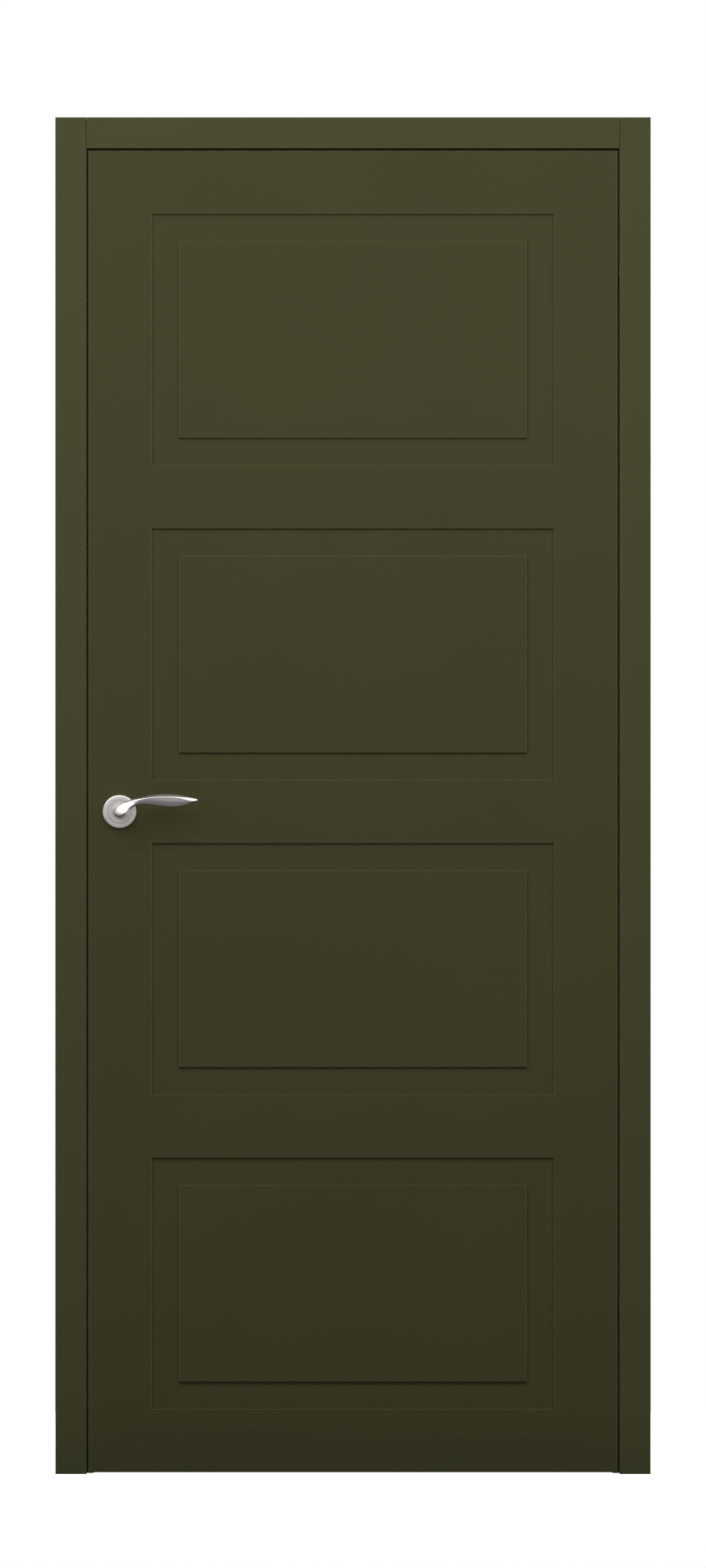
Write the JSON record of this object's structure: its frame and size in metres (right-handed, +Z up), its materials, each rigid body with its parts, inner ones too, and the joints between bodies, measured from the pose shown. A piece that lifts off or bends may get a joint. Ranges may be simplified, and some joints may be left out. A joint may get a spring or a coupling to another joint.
{
  "type": "interior door with frame",
  "caption": "Flush panelled interior door leaf in its casing frame, swinging on concealed hinges, with a lever handle and a magnetic latch.",
  "frame": {"origin": "on the floor, at the middle of the leaf's width and thickness", "axes": "+X from the lock side to the hinge side, -Y out of the front face that the leaf opens towards, +Z up"},
  "size_m": [0.9006, 0.1562, 2.0535],
  "materials": {
    "olive_paint": "satin olive paint",
    "satin_nickel": "satin nickel",
    "zinc_plated_steel": "bright zinc plate",
    "hinge_casting": "satin silver enamel on a casting",
    "zinc_casting": "plain casting",
    "magnet": "dull",
    "black_seal": "matt",
    "black_plastic": "matt",
    "raw_wood": "bare",
    "core_board": "bare"
  },
  "bodies": {
    "frame": {"lock_jamb": "olive_paint", "hinge_jamb": "olive_paint", "head_jamb": "olive_paint", "lock_front_casing": "olive_paint", "hinge_front_casing": "olive_paint", "head_front_casing": "olive_paint", "lock_back_casing": "olive_paint", "hinge_back_casing": "olive_paint", "head_back_casing": "olive_paint", "lock_seal": "black_seal", "hinge_seal": "black_seal", "head_seal": "black_seal", "corner_screws": "zinc_plated_steel", "strike_plate": "satin_nickel", "strike_box": "black_plastic", "strike_magnet": "magnet", "strike_screws": "zinc_plated_steel", "frame_hinge_pins": "zinc_plated_steel", "frame_hinge_screws": "zinc_plated_steel", "lower_frame_housing": "hinge_casting", "upper_frame_housing": "hinge_casting"},
    "leaf": {"front_skin": "olive_paint", "back_skin": "olive_paint", "lock_stile": "olive_paint", "lock_block": "olive_paint", "hinge_stile": "olive_paint", "bottom_rail": "raw_wood", "top_rail": "raw_wood", "core_boards": "core_board", "leaf_hinge_pins": "zinc_plated_steel", "leaf_hinge_screws": "zinc_plated_steel", "latch_case": "zinc_plated_steel", "latch_cover": "zinc_plated_steel", "forend": "satin_nickel", "forend_screws": "zinc_plated_steel", "front_rose_base": "zinc_casting", "back_rose_base": "zinc_casting", "front_rose_cover": "satin_nickel", "back_rose_cover": "satin_nickel", "rose_bolts": "zinc_plated_steel", "lower_leaf_housing": "hinge_casting", "upper_leaf_housing": "hinge_casting"},
    "lever": {"front_lever": "satin_nickel", "back_lever": "satin_nickel", "spindle": "zinc_plated_steel", "follower": "zinc_casting", "grub_screws": "zinc_plated_steel"},
    "latch": {"latch_tongue": "satin_nickel"},
    "lower_frame_short_arm": {"lower_frame_short_arm": "hinge_casting"},
    "lower_leaf_long_arm": {"lower_leaf_long_arm": "hinge_casting", "lower_leaf_arm_pin": "zinc_plated_steel"},
    "lower_frame_long_arm": {"lower_frame_long_arm": "hinge_casting", "lower_frame_arm_pins": "zinc_plated_steel"},
    "lower_leaf_short_arm": {"lower_leaf_short_arm": "hinge_casting"},
    "upper_frame_short_arm": {"upper_frame_short_arm": "hinge_casting"},
    "upper_leaf_long_arm": {"upper_leaf_long_arm": "hinge_casting", "upper_leaf_arm_pin": "zinc_plated_steel"},
    "upper_frame_long_arm": {"upper_frame_long_arm": "hinge_casting", "upper_frame_arm_pins": "zinc_plated_steel"},
    "upper_leaf_short_arm": {"upper_leaf_short_arm": "hinge_casting"}
  },
  "joints": [
    {"name": "door_swing", "type": "hinge", "parent": "frame", "child": "leaf", "pos_m": [0.40165, -0.025, 1], "axis": [0, 0, 1], "range_deg": [0, 100]},
    {"name": "lower_frame_short_arm_turn", "type": "hinge", "parent": "frame", "child": "lower_frame_short_arm", "pos_m": [0.40981, -0.0026, 0.24], "axis": [0, 0, 1], "range_deg": [0, 100]},
    {"name": "lower_leaf_long_arm_turn", "type": "hinge", "parent": "leaf", "child": "lower_leaf_long_arm", "pos_m": [0.39655, -0.011, 0.24], "axis": [0, 0, 1], "range_deg": [-100, 0]},
    {"name": "lower_frame_long_arm_turn", "type": "hinge", "parent": "frame", "child": "lower_frame_long_arm", "pos_m": [0.40675, -0.011, 0.24], "axis": [0, 0, 1], "range_deg": [0, 100]},
    {"name": "lower_leaf_short_arm_turn", "type": "hinge", "parent": "leaf", "child": "lower_leaf_short_arm", "pos_m": [0.39349, -0.0026, 0.24], "axis": [0, 0, 1], "range_deg": [-100, 0]},
    {"name": "upper_frame_short_arm_turn", "type": "hinge", "parent": "frame", "child": "upper_frame_short_arm", "pos_m": [0.40981, -0.0026, 1.8027], "axis": [0, 0, 1], "range_deg": [0, 100]},
    {"name": "upper_leaf_long_arm_turn", "type": "hinge", "parent": "leaf", "child": "upper_leaf_long_arm", "pos_m": [0.39655, -0.011, 1.8027], "axis": [0, 0, 1], "range_deg": [-100, 0]},
    {"name": "upper_frame_long_arm_turn", "type": "hinge", "parent": "frame", "child": "upper_frame_long_arm", "pos_m": [0.40675, -0.011, 1.8027], "axis": [0, 0, 1], "range_deg": [0, 100]},
    {"name": "upper_leaf_short_arm_turn", "type": "hinge", "parent": "leaf", "child": "upper_leaf_short_arm", "pos_m": [0.39349, -0.0026, 1.8027], "axis": [0, 0, 1], "range_deg": [-100, 0]},
    {"name": "lever_turn", "type": "hinge", "parent": "leaf", "child": "lever", "pos_m": [-0.353, 0, 1.0027], "axis": [0, 1, 0], "range_deg": [0, 40], "stiffness_Nm_per_rad": 2, "springref_deg": -17.19},
    {"name": "latch_slide", "type": "slide", "parent": "leaf", "child": "latch", "axis": [-1, 0, 0], "range_m": [0, 0.0095], "stiffness_N_per_m": 100, "springref_m": -0.005}
  ],
  "couplings": [
    {"joint": "lower_frame_short_arm_turn", "follows": "door_swing", "ratio": 1},
    {"joint": "lower_leaf_long_arm_turn", "follows": "door_swing", "ratio": -1},
    {"joint": "lower_frame_long_arm_turn", "follows": "door_swing", "ratio": 1},
    {"joint": "lower_leaf_short_arm_turn", "follows": "door_swing", "ratio": -1},
    {"joint": "upper_frame_short_arm_turn", "follows": "door_swing", "ratio": 1},
    {"joint": "upper_leaf_long_arm_turn", "follows": "door_swing", "ratio": -1},
    {"joint": "upper_frame_long_arm_turn", "follows": "door_swing", "ratio": 1},
    {"joint": "upper_leaf_short_arm_turn", "follows": "door_swing", "ratio": -1}
  ]
}
